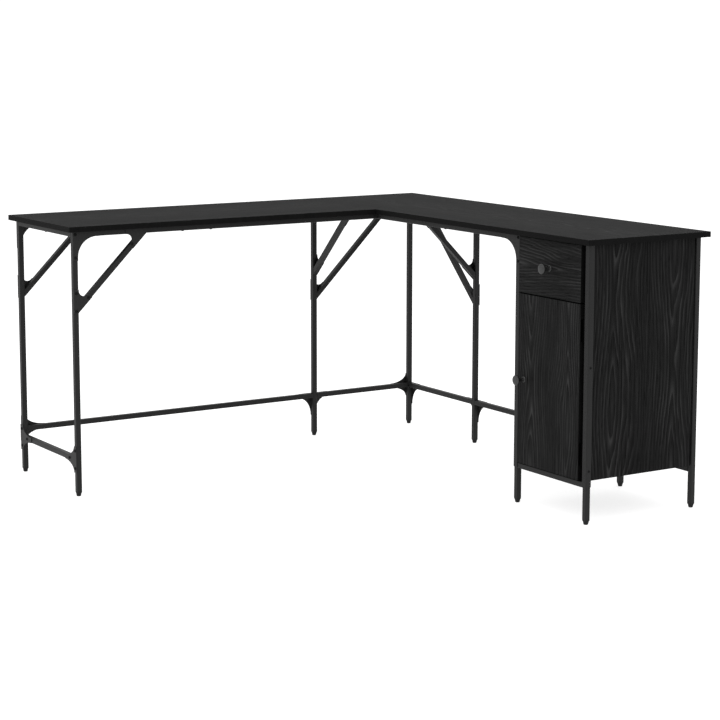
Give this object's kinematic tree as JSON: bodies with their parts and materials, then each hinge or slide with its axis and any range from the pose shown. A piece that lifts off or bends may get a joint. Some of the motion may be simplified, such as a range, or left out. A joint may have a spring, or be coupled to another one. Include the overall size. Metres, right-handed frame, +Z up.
{
  "type": "corner desk",
  "caption": "Corner desk with an L-shaped board top on a slim square-tube steel frame, braced legs, and a drawer and door cabinet under one wing.",
  "frame": {"origin": "on the floor, below the middle of the top's outline", "axes": "+Z up; the left wing runs along -X at the back (+Y side), the right wing with the cabinet runs along -Y at the +X side; the sitter's corner is at -X -Y"},
  "size_m": [1.415, 1.435, 0.76],
  "materials": {
    "top_board": "dark grey-black oak-grain laminate on particle board, matt",
    "cabinet_board": "black oak-grain laminate on particle board, grain upright",
    "front_board": "black oak-grain laminate fronts, lying grain on the drawer and upright on the door",
    "drawer_board": "plain black laminated drawer box",
    "frame_steel": "black powder-coated square steel tube, fine satin texture",
    "bracket_steel": "black powder-coated sheet steel, fine satin texture",
    "foot_plastic": "black moulded plastic",
    "runner_zinc": "zinc-plated steel",
    "knob_metal": "dark satin gunmetal turned metal"
  },
  "bodies": {
    "root": {"top_board_left": "top_board", "top_board_right": "top_board", "leg_left_back": "frame_steel", "leg_left_front": "frame_steel", "leg_back_middle": "frame_steel", "leg_corner": "frame_steel", "leg_right_middle": "frame_steel", "leg_cabinet_front_inner": "frame_steel", "leg_cabinet_front_outer": "frame_steel", "leg_cabinet_back_inner": "frame_steel", "leg_cabinet_back_outer": "frame_steel", "foot_left_back": "foot_plastic", "foot_left_front": "foot_plastic", "foot_back_middle": "foot_plastic", "foot_corner": "foot_plastic", "foot_right_middle": "foot_plastic", "foot_cabinet_front_inner": "foot_plastic", "foot_cabinet_front_outer": "foot_plastic", "foot_cabinet_back_inner": "foot_plastic", "foot_cabinet_back_outer": "foot_plastic", "rail_back_left": "frame_steel", "rail_back_right": "frame_steel", "rail_side_inner": "frame_steel", "rail_side_outer": "frame_steel", "rail_left_end": "frame_steel", "apron_back_left": "frame_steel", "apron_back_right": "frame_steel", "apron_side_inner": "frame_steel", "apron_side_outer": "frame_steel", "apron_left_end": "frame_steel", "inner_corner_frame": "frame_steel", "gusset_top_left_front": "bracket_steel", "gusset_top_left_back": "bracket_steel", "gusset_top_cabinet": "bracket_steel", "gusset_low_left_front": "bracket_steel", "gusset_low_left_back": "bracket_steel", "gusset_low_corner": "bracket_steel", "gusset_low_back": "bracket_steel", "gusset_low_side": "bracket_steel", "brace_left_front": "bracket_steel", "brace_left_back": "bracket_steel", "brace_back_long": "bracket_steel", "brace_back_cross": "bracket_steel", "brace_side_long": "bracket_steel", "brace_side_cross": "bracket_steel", "cabinet_top_frame": "frame_steel", "cabinet_floor_frame": "frame_steel", "cabinet_end_outer": "cabinet_board", "cabinet_end_inner": "cabinet_board", "cabinet_back": "cabinet_board", "cabinet_bottom": "cabinet_board", "runner_outer": "runner_zinc", "runner_inner": "runner_zinc", "door_hinge_lower": "runner_zinc", "door_hinge_upper": "runner_zinc"},
    "drawer": {"drawer_front": "front_board", "drawer_tray": "drawer_board", "drawer_knob": "knob_metal"},
    "door": {"door": "front_board", "door_knob": "knob_metal"}
  },
  "joints": [
    {"name": "drawer_slide", "type": "slide", "parent": "root", "child": "drawer", "axis": [-1, 0, 0], "range_m": [0, 0.25]},
    {"name": "door_hinge", "type": "hinge", "parent": "root", "child": "door", "pos_m": [0.31, -0.678, 0.35], "axis": [0, 0, 1], "range_deg": [0, 100]}
  ]
}
